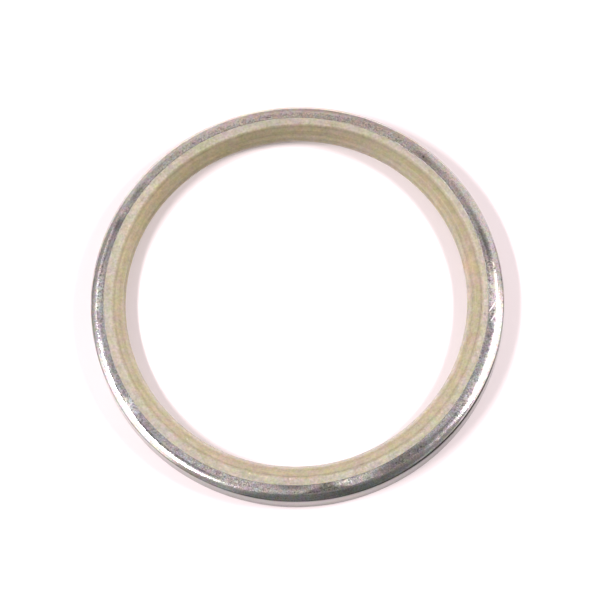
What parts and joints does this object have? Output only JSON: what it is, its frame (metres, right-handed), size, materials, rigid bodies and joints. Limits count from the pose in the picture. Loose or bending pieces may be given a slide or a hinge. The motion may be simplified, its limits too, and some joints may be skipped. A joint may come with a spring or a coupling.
{
  "type": "dust seal",
  "caption": "Ring-shaped dust seal: pressed steel case with a rounded shoulder and a bonded polyurethane lip that wipes a plain pin and keeps grit out of its bushing.",
  "frame": {"origin": "on the ring's axis, in the plane of the case's open rim, which the seal rests on", "axes": "+Z along the ring's axis, from the open rim to the flange face; X and Y lie in the rim plane"},
  "size_m": [0.095, 0.095, 0.006],
  "materials": {
    "case_metal": "bright pressed sheet steel, scuffed and mottled on the flange face, brighter on the rounded shoulder",
    "lip_polyurethane": "cream to tan moulded polyurethane, satin, slightly translucent at the lip edge"
  },
  "bodies": {
    "root": {"metal_case": "case_metal", "lip_ring": "lip_polyurethane"}
  },
  "joints": []
}
